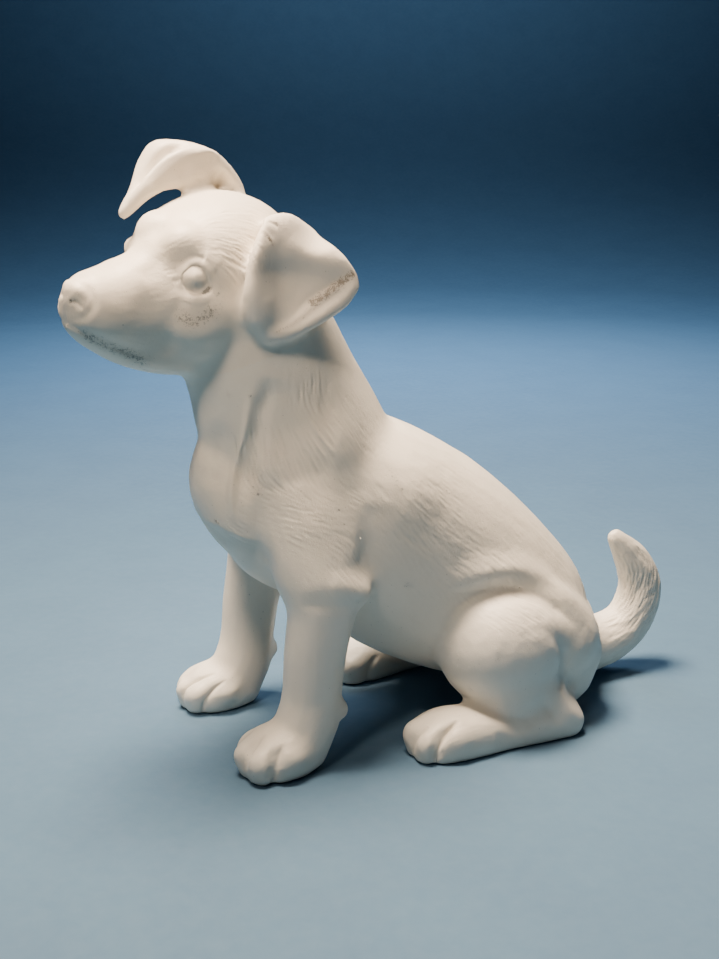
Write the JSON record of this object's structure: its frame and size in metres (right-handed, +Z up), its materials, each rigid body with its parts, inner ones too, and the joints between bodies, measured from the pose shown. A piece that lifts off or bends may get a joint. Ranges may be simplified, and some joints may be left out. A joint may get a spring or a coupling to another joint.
{
  "type": "sitting puppy figurine",
  "caption": "Small off-white resin puppy sitting with its head turned and tilted, one ear folded up, the other hanging, tail curled up",
  "frame": {"origin": "on the ground, below the middle of the figurine's box", "axes": "+Z up, -Y the way the chest faces, +X the dog's left"},
  "size_m": [0.0582, 0.133, 0.116],
  "materials": {
    "resin": "cast off-white resin, unpainted, satin, with fine carved hair strokes",
    "wire": "drawn steel wire, cut square"
  },
  "bodies": {
    "root": {"torso": "resin", "head": "resin", "left_ear": "resin", "right_ear": "resin", "left_foreleg": "resin", "right_foreleg": "resin", "left_hind_leg": "resin", "right_hind_leg": "resin", "tail": "resin", "neck_dowel": "wire", "left_foreleg_pin": "wire", "right_foreleg_pin": "wire", "left_hind_leg_pin": "wire", "right_hind_leg_pin": "wire", "tail_pin": "wire"}
  },
  "joints": []
}
